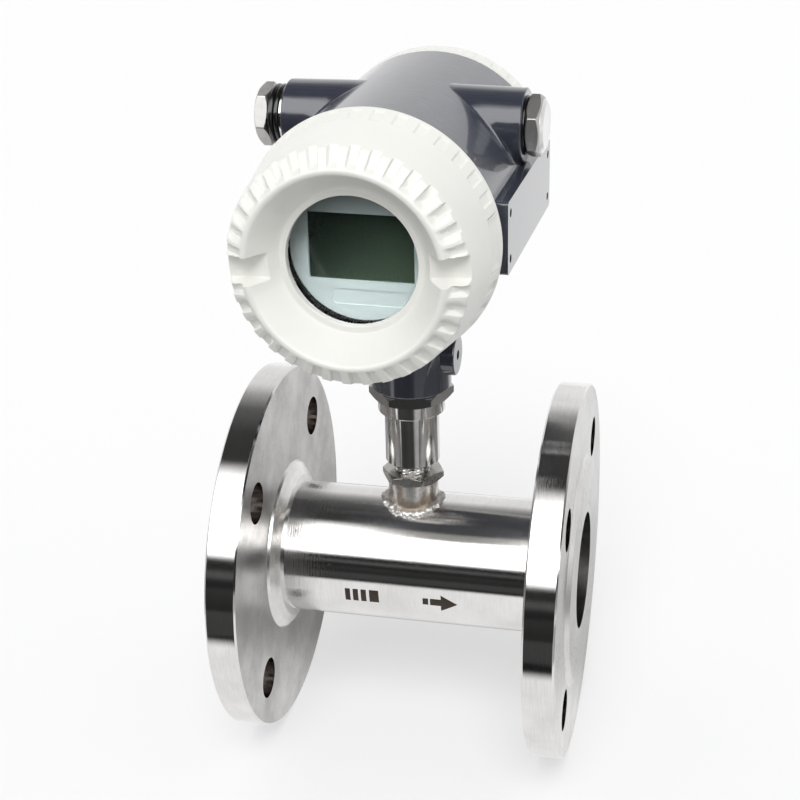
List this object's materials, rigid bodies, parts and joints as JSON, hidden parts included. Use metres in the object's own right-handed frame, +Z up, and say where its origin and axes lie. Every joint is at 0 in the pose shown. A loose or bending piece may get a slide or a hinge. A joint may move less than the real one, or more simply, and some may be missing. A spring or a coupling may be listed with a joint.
{
  "type": "turbine flow meter",
  "caption": "Flanged inline turbine flow meter with a bladed rotor in the bore and a swivelling round display head on a neck.",
  "frame": {"origin": "centre of the inlet port in the inlet flange's sealing face, on the pipe axis", "axes": "+X along the flow, out of the outlet flange; +Z up towards the display head; the display looks along -Y"},
  "size_m": [0.15, 0.1776, 0.3022],
  "materials": {
    "stainless": "brushed along the pipe",
    "turned_stainless": "turned rim, blasted faces",
    "polished_stainless": "polished",
    "fitting_steel": "machined, satin",
    "fastener_steel": "bright zinc",
    "spring_steel": "phosphated",
    "carbide": "ground",
    "soft_iron": "turned",
    "magnet": "nickel plated",
    "rotor_steel": "milled",
    "copper_wire": "enamelled winding",
    "nickel_brass": "nickel plated",
    "slate_paint": "gloss enamel on cast aluminium",
    "ivory_paint": "gloss enamel on cast aluminium",
    "window_glass": "clear",
    "display_glass": "unlit liquid crystal",
    "bezel_plastic": "satin",
    "circuit_board": "solder resist",
    "terminal_plastic": "moulded",
    "lead_jacket": "smooth",
    "black_rubber": "smooth"
  },
  "bodies": {
    "meter_body": {"measuring_tube": "stainless", "inlet_flange": "turned_stainless", "outlet_flange": "turned_stainless", "inlet_guide_ring": "stainless", "outlet_guide_ring": "stainless", "inlet_guide_hub": "stainless", "outlet_guide_hub": "stainless", "inlet_guide_vanes": "stainless", "outlet_guide_vanes": "stainless", "inlet_bush": "carbide", "outlet_bush": "carbide", "inlet_thrust_pad": "carbide", "outlet_thrust_pad": "carbide", "inlet_circlip": "spring_steel", "outlet_circlip": "spring_steel", "pickup_boss": "stainless", "pickup_stem": "polished_stainless", "pickup_pole_piece": "soft_iron", "pickup_magnet": "magnet", "pickup_coil": "copper_wire", "lower_lock_nut": "stainless", "upper_lock_nut": "stainless"},
    "rotor_assembly": {"rotor": "rotor_steel", "rotor_shaft": "carbide"},
    "head": {"housing": "slate_paint", "main_board": "circuit_board", "board_standoffs": "nickel_brass", "display_standoffs": "nickel_brass", "display_board": "circuit_board", "display_panel": "display_glass", "display_bezel": "bezel_plastic", "display_screws": "fastener_steel", "terminal_block": "terminal_plastic", "terminal_screws": "fastener_steel", "terminal_fixings": "fastener_steel", "signal_lead": "lead_jacket", "lead_plug": "terminal_plastic", "gland_bush": "black_rubber"},
    "front_seal_carrier": {"front_cover_seal": "black_rubber"},
    "front_cover_assembly": {"front_cover": "ivory_paint", "window_gasket": "black_rubber", "window_glass": "window_glass", "window_ring": "nickel_brass"},
    "rear_seal_carrier": {"rear_cover_seal": "black_rubber"},
    "rear_cover_assembly": {"rear_cover": "ivory_paint"},
    "gland_ring_carrier": {"gland_washer": "fastener_steel", "gland_o_rings": "black_rubber", "gland_thrust_ring": "fastener_steel"},
    "gland_screw_body": {"gland_screw": "fitting_steel"},
    "plug_seal_carrier": {"plug_gasket": "black_rubber"},
    "plug_body": {"blanking_plug": "fitting_steel"}
  },
  "joints": [
    {"name": "rotor_spin", "type": "hinge", "parent": "meter_body", "child": "rotor_assembly", "pos_m": [0.075, 0, 0], "axis": [1, 0, 0], "continuous": true},
    {"name": "head_swivel", "type": "hinge", "parent": "meter_body", "child": "head", "pos_m": [0.0738, 0, 0.095], "axis": [0, 0, 1], "range_deg": [-170, 170]},
    {"name": "front_cover_travel", "type": "slide", "parent": "head", "child": "front_seal_carrier", "axis": [-0.0384, -0.9993, 0], "range_m": [0, 0.012]},
    {"name": "front_cover_turn", "type": "hinge", "parent": "front_seal_carrier", "child": "front_cover_assembly", "pos_m": [0.07179, -0.05236, 0.1688], "axis": [-0.0384, -0.9993, 0], "range_deg": [0, 2160]},
    {"name": "rear_cover_travel", "type": "slide", "parent": "head", "child": "rear_seal_carrier", "axis": [0.0384, 0.9993, 0], "range_m": [0, 0.012]},
    {"name": "rear_cover_turn", "type": "hinge", "parent": "rear_seal_carrier", "child": "rear_cover_assembly", "pos_m": [0.07572, 0.04996, 0.1688], "axis": [0.0384, 0.9993, 0], "range_deg": [0, 2160]},
    {"name": "gland_screw_travel", "type": "slide", "parent": "head", "child": "gland_ring_carrier", "axis": [-0.9993, 0.0384, 0], "range_m": [0, 0.0045]},
    {"name": "gland_screw_turn", "type": "hinge", "parent": "gland_ring_carrier", "child": "gland_screw_body", "pos_m": [0.02407, 0.00792, 0.199], "axis": [-0.9993, 0.0384, 0], "range_deg": [0, 1080]},
    {"name": "blanking_plug_travel", "type": "slide", "parent": "head", "child": "plug_seal_carrier", "axis": [0.9993, -0.0384, 0], "range_m": [0, 0.012]},
    {"name": "blanking_plug_turn", "type": "hinge", "parent": "plug_seal_carrier", "child": "plug_body", "pos_m": [0.1225, 0.00413, 0.199], "axis": [0.9993, -0.0384, 0], "range_deg": [0, 2880]}
  ],
  "couplings": [
    {"joint": "front_cover_travel", "follows": "front_cover_turn", "m_per_rad": 0.00031831},
    {"joint": "rear_cover_travel", "follows": "rear_cover_turn", "m_per_rad": 0.00031831},
    {"joint": "gland_screw_travel", "follows": "gland_screw_turn", "m_per_rad": 0.00023873},
    {"joint": "blanking_plug_travel", "follows": "blanking_plug_turn", "m_per_rad": 0.00023873}
  ]
}
